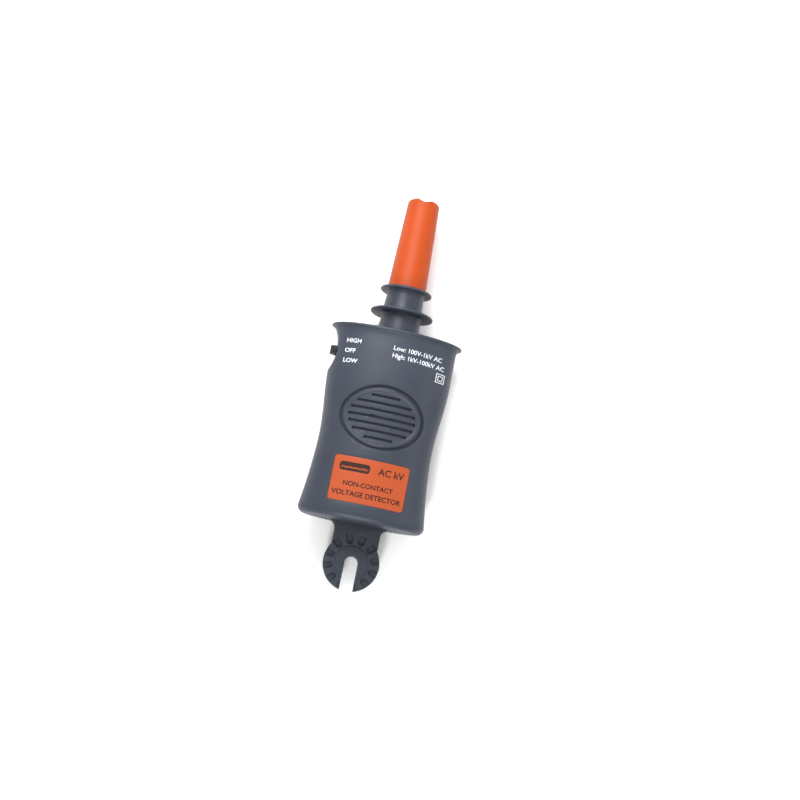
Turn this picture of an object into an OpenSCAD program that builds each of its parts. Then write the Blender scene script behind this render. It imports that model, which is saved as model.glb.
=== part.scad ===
// Hot-stick non contact voltage tester, lying on its back.
// +X is right, +Y points to the sensing tip, +Z comes out of the front face.
// The modules below are written in body coordinates: y = 0 at the body's foot, z = 0 at
// the parting plane. in_frame() moves them so that the origin is under the middle.

/* [Body] */
// Length of the body, foot to top rim
body_l = 136; // [126:1:165]
// Width at the waist
waist_w = 80.6; // [79:0.2:100]
// Height of the waist above the foot
waist_y = 57; // [50:1:64]
// Depth at the waist
waist_d = 42.9; // [42.5:0.1:52]
// How far the shoulder stands out past the waist, each side
shoulder_out = 3.4; // [2:0.1:6]
// Height above the foot where the shoulder becomes straight
shoulder_y = 106; // [96:1:114]
// How far the foot stands out past the waist, each side
foot_out = 4.5; // [2:0.1:8]
// Radius of the foot's edge
foot_round = 5; // [3.5:0.5:8]
// How far the top lip stands out past the shoulder
lip_out = 3.3; // [2:0.1:6]
// Thickness of the top lip
lip_t = 2; // [1.5:0.1:3]
// Height of the curve below the lip
lip_rise = 4.5; // [3:0.5:7]
// Wall of both shells
wall = 2.5; // [2:0.1:3]

/* [Guard neck and tip] */
// Length of the neck from the body's rim to the tip's seat
neck_l = 33.8; // [28:0.2:42]
// Radius of the neck at the rim
neck_r = 14.6; // [13.5:0.1:16]
// Radius of the neck under the tip
neck_top_r = 13.2; // [12.8:0.1:13.4]
// Radius of the wide guard disc
wide_disc_r = 22.5; // [18:0.1:27]
// Height of the wide disc above the rim
wide_disc_y = 15.7; // [10:0.1:20]
// Radius of the small guard disc
small_disc_r = 18.5; // [15:0.1:22]
// Thickness of a guard disc
disc_t = 2; // [1.6:0.1:2.6]
// How far the flange that the shells hold stands out past the neck
neck_flange_out = 3.9; // [2:0.1:5]
// Length of the spigot
spigot_l = 7.5; // [5:0.5:12]
// Length of the sensing tip
tip_l = 68; // [55:1:85]
// Radius of the tip at its seat
tip_r = 13.8; // [13.6:0.1:15]
// Radius of the tip near its end
tip_end_r = 11.5; // [11:0.1:12.5]
// Wall of the tip
tip_wall = 2; // [1.6:0.1:2.1]
// Depth of the saddle notch in the tip's end
notch_d = 3.2; // [2:0.1:4]
// Width of the saddle notch
notch_w = 11; // [9:0.5:13]

/* [Spline lug] */
// Diameter of the universal spline disc
spline_d = 39.5; // [36:0.5:46]
// Distance from the disc's centre to the body's foot
spline_y = 27.4; // [26:0.1:36]
// Thickness of the lug
lug_t = 8; // [7:0.1:9]
// Height of the lug's rear face below the parting plane
lug_back = 13; // [12.8:0.1:13.2]
// Width of the lug's neck
lug_neck_w = 32.5; // [28:0.5:35]
// Radius where the neck meets the foot
lug_fillet = 5; // [3:0.5:6]
// Width of the U slot for the stick's bolt
slot_w = 9.6; // [9:0.1:12]
// Number of spline recesses
recess_n = 12; // [8:1:14]
// Depth of a spline recess
recess_d = 2.2; // [1.5:0.1:3]
// Width of a spline recess
recess_w = 4.8; // [3.5:0.1:5]
// Radius at which the recesses start
recess_r = 13.2; // [12.6:0.1:15]
// Radius of the raised hub
hub_r = 11.7; // [10:0.1:12]
// Height of the raised hub
hub_t = 0.8; // [0.4:0.1:1.2]
// Length of the lug's root inside the body
root_l = 9.2; // [8:0.1:9.4]
// How much narrower the root is than the neck, each side
root_step = 0.5; // [0.3:0.1:2]

/* [Switch] */
// Distance of the switch below the body's rim
switch_drop = 19; // [17:0.5:24]
// Depth of the scoop in the left side
scoop_d = 4; // [3:0.1:4.6]
// Radius of the scoop
scoop_r = 32; // [26:1:36]
// Travel of the switch each way from OFF
switch_travel = 4; // [2:0.1:4]
// Length of the knob along the body
knob_l = 6.4; // [5:0.1:8]
// Width of the knob across the seam
knob_w = 7; // [5.5:0.1:9]
// Height of the knob above its seat
knob_h = 4.8; // [3:0.1:6]
// Side of the knob's square stem
stem_w = 3.2; // [3:0.1:4]

/* [Grille and label] */
// Height of the grille's centre above the foot
grille_y = 73; // [70:0.5:76]
// Width of the oval recess
grille_w = 59; // [50:0.5:60]
// Height of the oval recess
grille_h = 45.8; // [40:0.2:48]
// Width of the open groove round the insert
groove_w = 1.9; // [1:0.1:2.4]
// Depth of the groove
groove_d = 2; // [1.4:0.1:2.2]
// Number of sound slots
slot_n = 7; // [3:2:7]
// Pitch of the sound slots
slot_pitch = 4.95; // [4:0.05:5.2]
// Width of a sound slot
sound_slot_w = 1.8; // [1:0.1:2.4]
// Height of the label's centre above the foot
label_y = 27; // [24:0.5:28]
// Width of the label
label_w = 52.5; // [40:0.5:56]
// Height of the label
label_h = 31.5; // [24:0.5:34]
// Corner radius of the label
label_r = 2; // [1:0.1:4]
// Depth of the label's recess
label_seat = 0.4; // [0.2:0.1:0.6]

/* [Battery bay] */
// Diameter of an AA cell
cell_d = 14.5; // [13.5:0.1:14.5]
// Length of an AA cell over its nub
cell_l = 50.5; // [49:0.1:50.5]
// Gap between neighbouring cells
cell_gap = 0.7; // [0.3:0.1:1]
// Length of a contact spring
spring_l = 6; // [4:0.1:7]
// Foot to the bay's lower wall
bay_y = 11.5; // [11:0.1:13]
// How far the cover reaches past the bay
cover_past = 3; // [2.4:0.1:6]
// Thickness of the battery cover
cover_t = 2.2; // [1.8:0.1:2.4]

/* [Electronics and screws] */
// Thickness of the circuit boards
board_t = 1.6; // [1:0.1:2]
// Height of the main board above the parting plane
board_z = 4.2; // [4.2:0.1:4.6]
// Gap between the main board and the screw bosses
board_gap = 1.9; // [1:0.1:4]
// Radius of the sounder
sounder_r = 17; // [12:0.5:17.5]
// Height of the sounder
sounder_h = 8.6; // [6:0.1:8.8]
// Radius of a screw's shank
screw_r = 1.5; // [1.2:0.1:1.6]
// Radius of a screw's head
head_r = 2.8; // [2.4:0.1:3]
// Height of a screw's head
head_h = 1.7; // [1.4:0.1:2]
// Distance of the housing screws in from the waist's sides
screw_in = 7.3; // [6.9:0.1:7.5]

/* [Fits] */
// Gap between parts that are fixed together
fixed_gap = 0.1; // [0.05:0.01:0.15]
// Gap between parts that slide
slide_gap = 0.3; // [0.2:0.05:0.4]

/* [Hidden] */
$fn = 64;

body_blue = [0.30, 0.325, 0.37];
lug_blue = [0.25, 0.275, 0.32];
signal_orange = [0.93, 0.36, 0.12];
board_green = [0.08, 0.32, 0.18];
steel = [0.72, 0.72, 0.74];

// Where things end along Y
tip_y = body_l + neck_l;
tip_top = tip_y + tip_l;
lug_foot = -spline_y - sqrt(spline_d * spline_d - slot_w * slot_w) / 2;
frame_y = (tip_top + lug_foot) / 2;
far = 100;

// The body's outline
shoulder_half = waist_w / 2 + shoulder_out;
lip_half = shoulder_half + lip_out;
depth_ratio = waist_d / waist_w;
lip_depth = lip_half * depth_ratio;
flare_power = 1.7;
side_steps = 22;
round_steps = 5;
skin_fn = 96;

function rise(y) =
    y >= shoulder_y ? 1 : (1 - cos(180 * (y - waist_y) / (shoulder_y - waist_y))) / 2;
function flare(y) = pow(min(1, (waist_y - y) / (waist_y - foot_round)), flare_power);
function half_w(y) = waist_w / 2 + (y >= waist_y
    ? shoulder_out * rise(y)
    : foot_out * flare(y));
// Half depth of the skin, set in by t, at a place on the body
function skin_ratio(t) = (waist_w / 2 * depth_ratio - t) / (waist_w / 2 - t);
function skin_z(x, y, t) =
    let (w = half_w(y) - t) skin_ratio(t) * sqrt(max(0, w * w - x * x));

// Scoop, knob seat and switch
switch_y = body_l - switch_drop;
scoop_x = -(shoulder_half - scoop_d);
scoop_end = body_l - lip_t - 1;
seat_l = knob_l + 2 * switch_travel + 1.6;
seat_w = knob_w + 1.6;
shutter_l = stem_w + 4 * switch_travel + 2;
shutter_x = scoop_x + wall + slide_gap;
shutter_t = 1;
can_x = shutter_x + shutter_t + 2;
can_w = 5.6;
can_l = 18.6;
can_wall = 0.6;
can_depth = 4;
lever_w = 2;
lever_base_l = 5.2;

// Lug's root
root_half = lug_neck_w / 2 - root_step;

// Guard neck's seat between the shells
bulkhead_t = 2.3;
flange_y = body_l - wall - fixed_gap;
flange_t = 3.8;
bulkhead_y = flange_y - flange_t - fixed_gap;
neck_flange_r = neck_r + neck_flange_out;
bulkhead_half = neck_flange_r + 4;
tip_inner_l = tip_l - notch_d - tip_wall;
tip_taper = (tip_r - tip_end_r) / (tip_inner_l - 2);
spigot_r = tip_r - tip_wall - tip_taper * (spigot_l + 1) - fixed_gap;
led_board_r = spigot_r - 2.2;
neck_bore_r = led_board_r - 1.2;
led_board_y = tip_y + 0.8;
led_board_t = 1.2;

// Battery bay
bay_wall = 1.8;
cell_pitch = cell_d + cell_gap;
bay_half = cell_pitch + cell_d / 2 + 0.75;
cover_half = bay_half + 1.8;
rail_half = cover_half + 4;
rail_d = 1.5;
rail_z = 10.9;
rail_t = 1.7;
roof_z = 0.3;
roof_t = 1.4;
cell_z = roof_z + roof_t + 0.35 + cell_d / 2;
shelf_z = lug_back + 2;
plate_t = 0.4;
bay_l = cell_l + spring_l + 2 * plate_t + 2 * fixed_gap;
bay_top = bay_y + bay_l;
cover_l = bay_top + cover_past;
spring_r = 4.6;
spring_wire = 0.4;
spring_turns = 3.5;

// Screws
screw_x = waist_w / 2 - screw_in;
screw_rows = [18, 62, 97];
boss_r = 4.4;
pilot_boss_r = 3.6;
housing_head_z = 6.5;
housing_screw_in = 7;
board_screw_x = 22;
board_screw_rows = [24, 101];
board_screw_in = 5;
lug_screw_x = 9.5;
lug_screw_y = 5;
lug_screw_in = 5.5;

// Board and sounder
board_half = screw_x - pilot_boss_r - board_gap;
board_y = 14;
board_top = bulkhead_y - bulkhead_t - 1.2;
board_tab_x = -can_x + 1;
board_tab_y = switch_y - can_l / 2 - 2;

// Grille
insert_w = grille_w - 2 * groove_w;
insert_h = grille_h - 2 * groove_w;
throat_w = insert_w - 4.7;
throat_h = insert_h - 4;
pad_t = groove_d + 1.6;
slots_w = throat_w - 0.4;
slots_h = throat_h - 2.4;
sounder_top = board_z + board_t + sounder_h;
seal_t = skin_z(sounder_r, grille_y, pad_t) - sounder_top - slide_gap;

module in_frame() {
    translate([0, -frame_y, lip_depth]) children();
}

module block(x0, x1, y0, y1, z0, z1) {
    translate([x0, y0, z0]) cube([x1 - x0, y1 - y0, z1 - z0]);
}

module along_y(y, length, r, r_end) {
    translate([0, y, 0]) rotate([-90, 0, 0]) cylinder(h = length, r1 = r, r2 = r_end);
}

// Half outline of the body, set in by t; the outside has the lip
module outline(t, lip) {
    corner = half_w(foot_round) - foot_round;
    round_r = foot_round - t;
    side_top = lip ? body_l - lip_t - lip_rise : body_l - max(t, 0);
    lip_edge = lip_half - lip_t / 2;
    polygon(concat(
        [[0, foot_round - round_r]],
        [for (i = [0:round_steps]) let (a = -90 + 90 * i / round_steps)
            [corner + round_r * cos(a), foot_round + round_r * sin(a)]],
        [for (i = [1:side_steps]) let (y = foot_round + i * (side_top - foot_round) / side_steps)
            [half_w(y) - t, y]],
        lip ? [for (i = [1:round_steps]) let (a = 90 * i / (round_steps + 1))
            [shoulder_half + (lip_out - lip_t / 2) * (1 - cos(a)), side_top + lip_rise * sin(a)]] : [],
        lip ? [for (i = [0:2 * round_steps]) let (a = -90 + 90 * i / round_steps)
            [lip_edge + lip_t / 2 * cos(a), body_l - lip_t / 2 + lip_t / 2 * sin(a)]] : [],
        [[0, lip ? body_l : side_top]]));
}

// The body's oval solid, set in by t
module skin(t, lip = false) {
    scale([1, 1, skin_ratio(t)]) rotate([-90, 0, 0]) rotate_extrude($fn = skin_fn) outline(t, lip);
}

// A layer of the body's skin, from depth t0 to depth t1
module layer(t0, t1) {
    difference() {
        skin(t0);
        skin(t1);
    }
}

module oval(w, h) {
    translate([0, grille_y, 0]) linear_extrude(height = far) scale([w / 2, h / 2]) circle(r = 1, $fn = 96);
}

module label_prism(gap) {
    w = label_w / 2 + gap;
    h = label_h / 2 + gap;
    r = label_r + gap;
    translate([0, label_y, 0]) linear_extrude(height = far) union() {
        square([2 * (w - r), 2 * h], center = true);
        square([2 * w, 2 * (h - r)], center = true);
        for (x = [-1, 1], y = [-1, 1]) translate([x * (w - r), y * (h - r)]) circle(r = r, $fn = 32);
    }
}

// The scoop's cylinder, which stops under the lip; grown by the shells' wall for the pad behind it
module scoop(grow) {
    intersection() {
        translate([scoop_x - scoop_r, switch_y, -far])
            cylinder(h = 2 * far, r = scoop_r + grow, $fn = 128);
        block(-far, 0, 0, scoop_end, -far, far);
    }
}

module at_housing_screws() {
    for (x = [-screw_x, screw_x], y = screw_rows) translate([x, y, 0]) children();
}

module at_board_screws() {
    for (x = [-board_screw_x, board_screw_x], y = board_screw_rows) translate([x, y, 0]) children();
}

// What both shells share: the wall, the scoop's pad, the neck's bulkhead, and their cuts
module shell_body() {
    difference() {
        union() {
            difference() {
                skin(0, true);
                skin(wall);
            }
            intersection() {
                skin(wall / 2);
                union() {
                    scoop(wall);
                    block(-bulkhead_half, bulkhead_half, bulkhead_y - bulkhead_t, bulkhead_y, -far, far);
                }
            }
        }
        scoop(0);
        block(-far, scoop_x, switch_y - seat_l / 2, switch_y + seat_l / 2, -seat_w / 2, seat_w / 2);
        block(-far, shutter_x, switch_y - stem_w / 2 - switch_travel - slide_gap,
            switch_y + stem_w / 2 + switch_travel + slide_gap,
            -stem_w / 2 - slide_gap, stem_w / 2 + slide_gap);
        along_y(bulkhead_y - 2 * bulkhead_t, far, neck_r + fixed_gap, neck_r + fixed_gap);
    }
}

module front_shell() {
    color(body_blue) in_frame() difference() {
        union() {
            difference() {
                shell_body();
                oval(throat_w + 2 * fixed_gap, throat_h + 2 * fixed_gap);
            }
            intersection() {
                layer(wall / 2, pad_t);
                difference() {
                    oval(grille_w + 4, grille_h + 4);
                    oval(throat_w + 2 * fixed_gap, throat_h + 2 * fixed_gap);
                }
            }
            intersection() {
                skin(wall / 2);
                union() {
                    at_housing_screws() cylinder(h = far, r = pilot_boss_r);
                    at_board_screws() translate([0, 0, board_z + board_t]) cylinder(h = far, r = 3);
                }
            }
        }
        block(-far, far, -far, 2 * far, -far, 0);
        difference() {
            oval(grille_w, grille_h);
            skin(groove_d);
        }
        difference() {
            label_prism(fixed_gap);
            skin(label_seat);
        }
        at_housing_screws() translate([0, 0, -1]) cylinder(h = housing_screw_in + 2, r = screw_r + 0.02);
        at_board_screws() cylinder(h = board_z + board_t + board_screw_in + 1, r = screw_r + 0.02);
    }
}

// Everything that the cover takes out of the rear shell, open at the foot
module cover_opening() {
    top = cover_l + slide_gap;
    block(-bay_half, bay_half, -1, top, -far, -shelf_z);
    for (s = [-1, 1]) {
        inner = s * (bay_half - slide_gap - 0.1);
        outer = s * cover_half;
        groove = s * (cover_half + rail_d);
        block(min(inner, outer), max(inner, outer), -1, top, -far, -rail_z + slide_gap);
        block(min(outer, groove), max(outer, groove), -1, top,
            -rail_z - rail_t - slide_gap, -rail_z + slide_gap);
    }
}

module rear_shell() {
    color(body_blue) in_frame() difference() {
        union() {
            shell_body();
            intersection() {
                skin(wall / 2);
                difference() {
                    union() {
                        block(-rail_half, rail_half, 0, bay_top + bay_wall, -far, -roof_z);
                        at_housing_screws() translate([0, 0, -far]) cylinder(h = far, r = boss_r);
                    }
                    block(-bay_half, bay_half, bay_y, bay_top, -far, -roof_z - roof_t);
                }
            }
        }
        block(-far, far, -far, 2 * far, 0, far);
        cover_opening();
        block(-root_half - fixed_gap, root_half + fixed_gap, -1, root_l + fixed_gap,
            -lug_back - fixed_gap, -lug_back + lug_t + fixed_gap);
        at_housing_screws() translate([0, 0, -far]) cylinder(h = 2 * far, r = screw_r + fixed_gap);
        at_housing_screws() translate([0, 0, -far])
            cylinder(h = far - housing_head_z, r = head_r + 0.3);
        for (x = [-lug_screw_x, lug_screw_x]) translate([x, lug_screw_y, 0]) {
            translate([0, 0, -lug_back + lug_t - 1]) cylinder(h = lug_back, r = screw_r + fixed_gap);
            translate([0, 0, -roof_z - head_h - fixed_gap]) cylinder(h = far, r = head_r + fixed_gap);
        }
    }
}

module battery_cover() {
    half = cover_half - slide_gap;
    color(body_blue) in_frame() union() {
        intersection() {
            difference() {
                skin(0);
                skin(cover_t);
            }
            block(-half, half, 0, cover_l, -far, -rail_z);
            union() {
                block(-half, half, wall, cover_l, -far, 0);
                block(-half, half, 0, cover_l, -far, -shelf_z - slide_gap);
            }
        }
        intersection() {
            skin(cover_t / 2);
            for (s = [0, 1]) mirror([s, 0, 0]) union() {
                block(bay_half - 0.1, half, foot_round, cover_l, -far, -rail_z);
                block(half, half + rail_d, foot_round, cover_l - 2, -rail_z - rail_t, -rail_z);
            }
        }
        intersection() {
            layer(-0.4, cover_t / 2);
            union() for (i = [0:5]) block(-12, 12, 54 + 2.4 * i, 55.1 + 2.4 * i, -far, 0);
        }
    }
}

module lug_outline() {
    neck_half = lug_neck_w / 2;
    difference() {
        union() {
            translate([0, -spline_y]) circle(d = spline_d, $fn = 96);
            translate([-neck_half, -spline_y]) square([lug_neck_w, spline_y]);
            translate([-neck_half - lug_fillet, -lug_fillet])
                square([lug_neck_w + 2 * lug_fillet, lug_fillet]);
            translate([-root_half, -1]) square([2 * root_half, root_l + 1]);
        }
        for (s = [-1, 1]) translate([s * (neck_half + lug_fillet), -lug_fillet])
            circle(r = lug_fillet, $fn = 48);
        translate([0, -spline_y]) circle(d = slot_w, $fn = 48);
        translate([-slot_w / 2, -spline_y - spline_d]) square([slot_w, spline_d]);
    }
}

module spline_lug() {
    color(lug_blue) in_frame() difference() {
        union() {
            translate([0, 0, -lug_back]) linear_extrude(height = lug_t) lug_outline();
            translate([0, -spline_y, -lug_back]) cylinder(h = lug_t + hub_t, r = hub_r);
        }
        translate([0, -spline_y, -lug_back + lug_t - recess_d]) for (i = [0:recess_n - 1])
            rotate([0, 0, (i + 0.5) * 360 / recess_n]) {
                translate([recess_r + recess_w / 2, 0, 0]) cylinder(h = far, d = recess_w);
                translate([recess_r + recess_w / 2, -recess_w / 2, 0])
                    cube([recess_w, recess_w, far]);
            }
        translate([0, -spline_y, -far]) cylinder(h = 2 * far, d = slot_w);
        block(-slot_w / 2, slot_w / 2, -spline_y - spline_d, -spline_y, -far, far);
        for (x = [-lug_screw_x, lug_screw_x]) translate([x, lug_screw_y, -lug_back + lug_t - lug_screw_in])
            cylinder(h = far, r = screw_r + 0.02);
    }
}

// A guard disc with a round rim, as half an outline
module disc_outline(y, r) {
    translate([0, y - disc_t / 2]) square([r - disc_t / 2, disc_t]);
    translate([r - disc_t / 2, y]) circle(d = disc_t, $fn = 32);
}

module neck_guard() {
    small_disc_y = tip_y - fixed_gap - disc_t / 2;
    color(body_blue) in_frame() rotate([-90, 0, 0]) difference() {
        rotate_extrude($fn = skin_fn) union() {
            polygon([[0, bulkhead_y - bulkhead_t], [neck_r, bulkhead_y - bulkhead_t],
                [neck_r, body_l], [neck_top_r, small_disc_y], [0, small_disc_y]]);
            translate([0, flange_y - flange_t]) square([neck_flange_r, flange_t]);
            disc_outline(body_l + wide_disc_y, wide_disc_r);
            disc_outline(small_disc_y, small_disc_r);
            translate([0, small_disc_y]) square([spigot_r, spigot_l]);
        }
        cylinder(h = 2 * far, r = neck_bore_r);
        translate([0, 0, led_board_y]) cylinder(h = far, r = led_board_r + fixed_gap);
    }
}

module tip_outline() {
    round_x = tip_end_r / 2;
    round_y = notch_d + 0.4;
    top = tip_l - round_y;
    polygon(concat(
        [[0, 0], [tip_r, 0], [tip_end_r, top]],
        [for (i = [1:8]) let (a = 90 * i / 8)
            [tip_end_r - round_x + round_x * cos(a), top + round_y * sin(a)]],
        [[0, tip_l]]));
}

module sensor_tip() {
    notch_r = (notch_w * notch_w / 4 + notch_d * notch_d) / (2 * notch_d);
    color(signal_orange) in_frame() translate([0, tip_y, 0]) difference() {
        rotate([-90, 0, 0]) rotate_extrude($fn = skin_fn) tip_outline();
        along_y(-1, tip_inner_l - 2, tip_r - tip_wall, tip_end_r - tip_wall);
        translate([0, tip_l - notch_d + notch_r, -far]) cylinder(h = 2 * far, r = notch_r);
    }
}

module speaker_grille() {
    color(body_blue) in_frame() difference() {
        union() {
            intersection() {
                layer(fixed_gap, groove_d - 0.05);
                oval(insert_w, insert_h);
            }
            intersection() {
                layer(groove_d - 0.4, pad_t);
                oval(throat_w, throat_h);
            }
        }
        for (i = [0:slot_n - 1]) {
            dy = (i - (slot_n - 1) / 2) * slot_pitch;
            half = slots_w / 2 * sqrt(1 - pow(dy / (slots_h / 2), 2));
            translate([0, grille_y + dy, 0]) {
                block(-half, half, -sound_slot_w / 2, sound_slot_w / 2, 0, far);
                for (s = [-1, 1]) translate([s * half, 0, 0]) cylinder(h = far, d = sound_slot_w, $fn = 24);
            }
        }
    }
}

module front_label() {
    color(signal_orange) in_frame() intersection() {
        layer(-0.05, label_seat - 0.05);
        label_prism(0);
    }
}

module switch_knob() {
    seat = scoop_x - slide_gap;
    color("black") in_frame() translate([0, switch_y, 0]) difference() {
        union() {
            block(seat - knob_h, seat, -knob_l / 2, knob_l / 2, -knob_w / 2, knob_w / 2);
            block(seat - 0.1, can_x - 0.4, -stem_w / 2, stem_w / 2, -stem_w / 2, stem_w / 2);
            block(shutter_x, shutter_x + shutter_t, -shutter_l / 2, shutter_l / 2, -3.4, 3.4);
        }
        block(shutter_x + shutter_t, far, -lever_w / 2 - 0.05, lever_w / 2 + 0.05,
            -lever_w / 2 - 0.05, lever_w / 2 + 0.05);
    }
}

module switch_lever() {
    base_x = can_x + can_wall + slide_gap;
    color("white") in_frame() translate([0, switch_y, 0]) union() {
        block(shutter_x + shutter_t + 0.1, base_x + 0.1,
            -lever_w / 2, lever_w / 2, -lever_w / 2, lever_w / 2);
        block(base_x, base_x + 1.6, -lever_base_l / 2, lever_base_l / 2, -2.6, 2.6);
    }
}

module slide_switch() {
    cavity_l = lever_base_l + 2 * switch_travel + 2 * slide_gap;
    slot_half = lever_w / 2 + switch_travel + slide_gap;
    color(steel) in_frame() translate([0, switch_y, 0]) difference() {
        block(can_x, can_x + can_w, -can_l / 2, can_l / 2, -can_depth, board_z);
        block(can_x + can_wall, can_x + can_w - 1.2, -cavity_l / 2, cavity_l / 2, -3, 3);
        block(can_x - 1, can_x + can_wall + 0.1, -slot_half, slot_half,
            -lever_w / 2 - slide_gap, lever_w / 2 + slide_gap);
    }
}

module main_board() {
    color(board_green) in_frame() difference() {
        union() {
            block(-board_half, board_half, board_y, board_top, board_z, board_z + board_t);
            block(-board_tab_x, 0, board_tab_y, board_top, board_z, board_z + board_t);
        }
        at_board_screws() cylinder(h = far, r = screw_r + fixed_gap);
    }
}

module control_chip() {
    color("black") in_frame() union() {
        block(-6, 6, 34, 42, board_z + board_t + 0.2, board_z + board_t + 2.4);
        for (i = [0:6], s = [-1, 1]) translate([-5.1 + 1.7 * i, 38 + s * 4.6, board_z + board_t])
            translate([-0.25, -0.7, 0]) cube([0.5, 1.4, 1.2]);
    }
}

module storage_capacitor() {
    color("navy") in_frame() translate([13, 113, board_z + board_t]) cylinder(h = 9, r = 4, $fn = 48);
}

module sounder() {
    color("black") in_frame() translate([0, grille_y, board_z + board_t]) difference() {
        cylinder(h = sounder_h, r = sounder_r);
        translate([0, 0, sounder_h - 1.2]) cylinder(h = far, r = sounder_r - 3);
        translate([0, 0, 2]) cylinder(h = far, r = 2.5, $fn = 32);
    }
}

module sounder_seal() {
    color("dimgray") in_frame() translate([0, grille_y, sounder_top]) difference() {
        cylinder(h = seal_t, r = sounder_r);
        translate([0, 0, -1]) cylinder(h = far, r = sounder_r - 3);
    }
}

module led_board() {
    color(board_green) in_frame() along_y(led_board_y, led_board_t, led_board_r, led_board_r);
}

module indicator_leds() {
    y = led_board_y + led_board_t;
    color("red") in_frame() for (x = [-5.4, 5.4]) translate([x, y, 0]) rotate([-90, 0, 0])
        rotate_extrude($fn = 48) union() {
            square([2.9, 1]);
            square([2.5, 6.2]);
            intersection() {
                translate([0, 6.2]) circle(r = 2.5, $fn = 48);
                square([2.5, 10]);
            }
        }
}

module sensing_antenna() {
    y = led_board_y + led_board_t;
    plate_y = tip_top - notch_d - tip_wall - 9;
    color("goldenrod") in_frame() union() {
        along_y(y, plate_y - y + 0.2, 1.2, 1.2);
        along_y(plate_y, 1, 7, 7);
    }
}

module head_leads() {
    color("red") in_frame() for (x = [-2.4, 2.4]) translate([x, 0, board_z + board_t / 2])
        along_y(board_top, led_board_y - board_top, 0.7, 0.7);
}

module battery_leads() {
    z = -cell_z + 2;
    color("red") in_frame() for (x = [-cell_pitch, cell_pitch])
        translate([x, bay_top + bay_wall + 1.1, z]) cylinder(h = board_z - z, r = 0.8, $fn = 24);
}

// A cell standing on y = 0, its nub up
module cell() {
    nub_l = 1.2;
    along_y(0, cell_l - nub_l, cell_d / 2, cell_d / 2);
    along_y(cell_l - nub_l, nub_l, 2.6, 2.6);
}

module upright_cell(x) {
    translate([x, bay_y + plate_t + spring_l + fixed_gap, -cell_z]) cell();
}

module turned_cell(x) {
    translate([x, bay_top - plate_t - spring_l - fixed_gap, -cell_z]) rotate([0, 0, 180]) cell();
}

module cell_1() { color("darkgreen") in_frame() upright_cell(-cell_pitch); }
module cell_2() { color("darkgreen") in_frame() turned_cell(0); }
module cell_3() { color("darkgreen") in_frame() upright_cell(cell_pitch); }

// A coil of wire along Y from y = 0, as one swept tube
module coil(length, r, wire, turns) {
    sides = 6;
    steps = round(turns * 12);
    points = [for (i = [0:steps], j = [0:sides - 1])
        let (a = 360 * turns * i / steps, b = 360 * j / sides, q = r + wire * cos(b))
        [q * cos(a), wire + (length - 2 * wire) * i / steps + wire * sin(b), q * sin(a)]];
    faces = concat(
        [for (i = [0:steps - 1], j = [0:sides - 1])
            let (k = (j + 1) % sides)
            [i * sides + j, (i + 1) * sides + j, (i + 1) * sides + k, i * sides + k]],
        [[for (j = [0:sides - 1]) j]],
        [[for (j = [sides - 1:-1:0]) steps * sides + j]]);
    polyhedron(points, faces);
}

module contact_springs() {
    color(steel) in_frame() {
        for (x = [-cell_pitch, cell_pitch]) translate([x, bay_y + plate_t + fixed_gap / 2, -cell_z])
            coil(spring_l, spring_r, spring_wire, spring_turns);
        translate([0, bay_top - plate_t - spring_l - fixed_gap / 2, -cell_z])
            coil(spring_l, spring_r, spring_wire, spring_turns);
    }
}

module contact_plates() {
    half = 5;
    ends = [bay_y, bay_top - plate_t];
    color(steel) in_frame() for (end = [0, 1]) mirror([end, 0, 0]) {
        y = ends[end];
        block(-cell_pitch - half, -cell_pitch + half, y, y + plate_t, -cell_z - half, -cell_z + half);
        block(-half, cell_pitch + half, y, y + plate_t, -cell_z - half, -cell_z + half);
    }
}

// A pan-head screw, its head under z = 0 and its shank going up
module screw(length) {
    translate([0, 0, -head_h]) cylinder(h = head_h, r = head_r, $fn = 48);
    cylinder(h = length, r = screw_r, $fn = 32);
}

module housing_screws() {
    color(steel) in_frame() at_housing_screws() translate([0, 0, -housing_head_z])
        screw(housing_head_z + housing_screw_in);
}

module board_screws() {
    color(steel) in_frame() at_board_screws() translate([0, 0, board_z]) screw(board_t + board_screw_in);
}

module lug_screws() {
    top = -roof_z - head_h;
    color(steel) in_frame() for (x = [-lug_screw_x, lug_screw_x]) translate([x, lug_screw_y, top])
        rotate([180, 0, 0]) screw(top + lug_back - lug_t + lug_screw_in - 0.3);
}

front_shell();
rear_shell();
battery_cover();
spline_lug();
neck_guard();
sensor_tip();
speaker_grille();
front_label();
switch_knob();
switch_lever();
slide_switch();
main_board();
control_chip();
storage_capacitor();
sounder();
sounder_seal();
led_board();
indicator_leds();
sensing_antenna();
head_leads();
battery_leads();
cell_1();
cell_2();
cell_3();
contact_springs();
contact_plates();
housing_screws();
board_screws();
lug_screws();
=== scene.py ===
import math

import bpy
from mathutils import Matrix, Vector


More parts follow.
